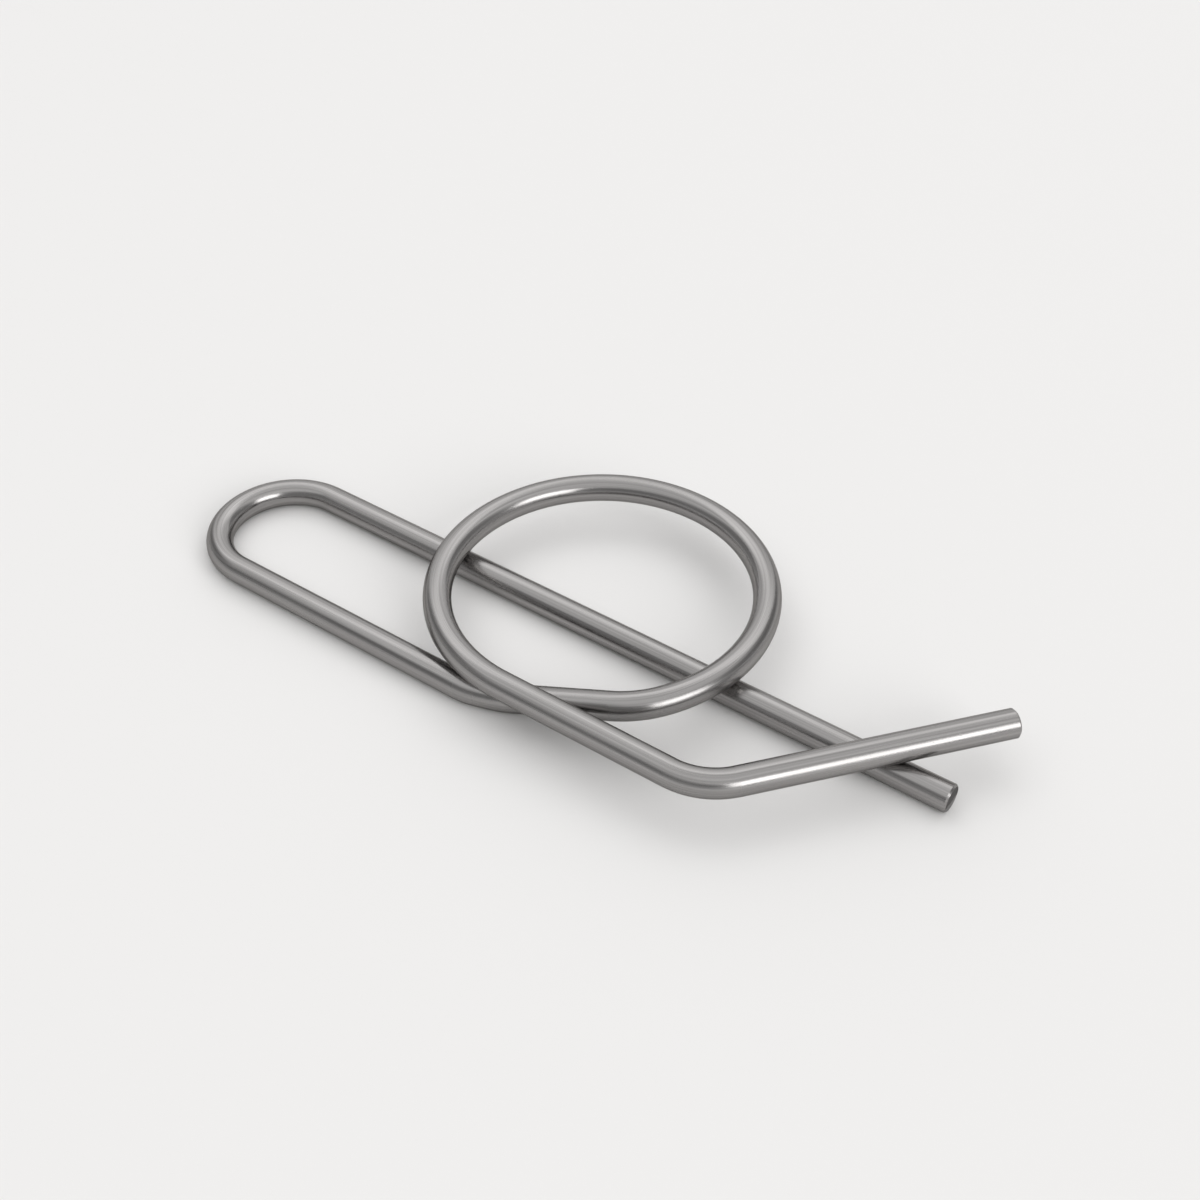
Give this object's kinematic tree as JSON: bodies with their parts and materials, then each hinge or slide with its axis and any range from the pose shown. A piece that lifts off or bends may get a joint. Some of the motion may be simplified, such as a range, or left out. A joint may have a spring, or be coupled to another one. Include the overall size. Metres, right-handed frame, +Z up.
{
  "type": "locking pin",
  "caption": "Locking pin bent from round spring wire: a straight leg for a cross hole, a U bend, a full-turn ring and a hook that comes back across the leg near its tip.",
  "frame": {"origin": "under the middle of the pin's box, on the surface that the pin lies on; the box's middle across is the ring's axis", "axes": "+X along the straight leg towards its tip, +Y from the back leg towards the ring's far side, +Z up from the surface, along the ring's axis"},
  "size_m": [0.1194, 0.05, 0.0082],
  "materials": {
    "spring_wire": "bright drawn spring steel wire"
  },
  "bodies": {
    "root": {"pin_wire": "spring_wire"}
  },
  "joints": []
}
